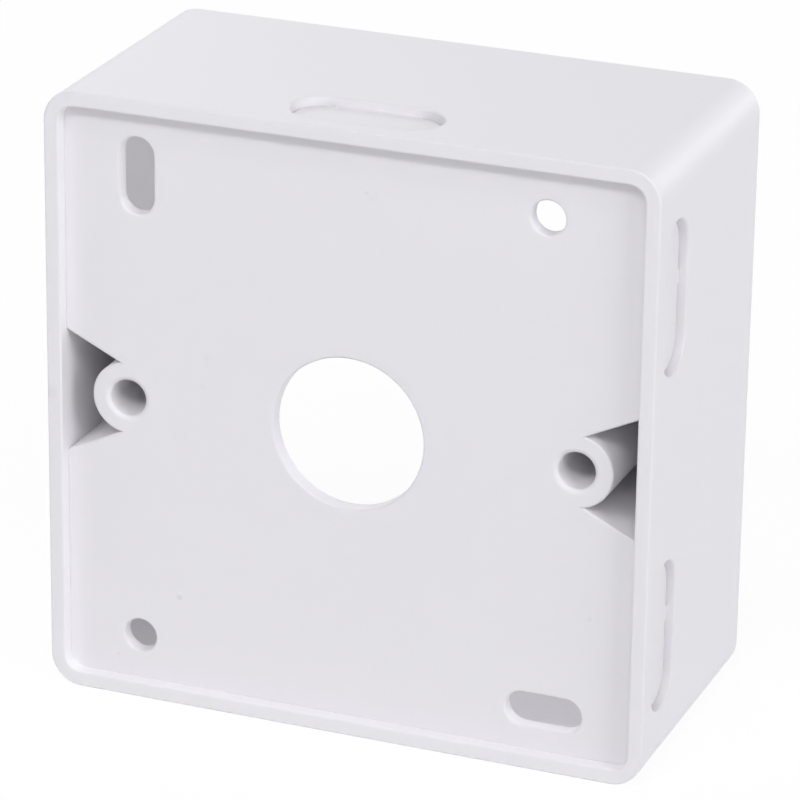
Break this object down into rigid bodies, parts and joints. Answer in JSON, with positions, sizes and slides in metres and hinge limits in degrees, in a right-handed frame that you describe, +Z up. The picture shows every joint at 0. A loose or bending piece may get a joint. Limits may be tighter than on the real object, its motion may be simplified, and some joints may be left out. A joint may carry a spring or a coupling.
{
  "type": "flush mounting box",
  "caption": "Square moulded plastic box that fixes a wall device: open towards the room, with a recessed back plate, cable entry, screw holes and slots, and cored screw pillars.",
  "frame": {"origin": "middle of the cable entry, on the side of the back plate that faces the wall; the wall itself is at y = -1.8 mm", "axes": "+X along the wall, +Y from the wall into the room, +Z up"},
  "size_m": [0.081, 0.0385, 0.081],
  "materials": {
    "white_abs": "satin injection moulded"
  },
  "bodies": {
    "root": {"mounting_box": "white_abs"}
  },
  "joints": []
}
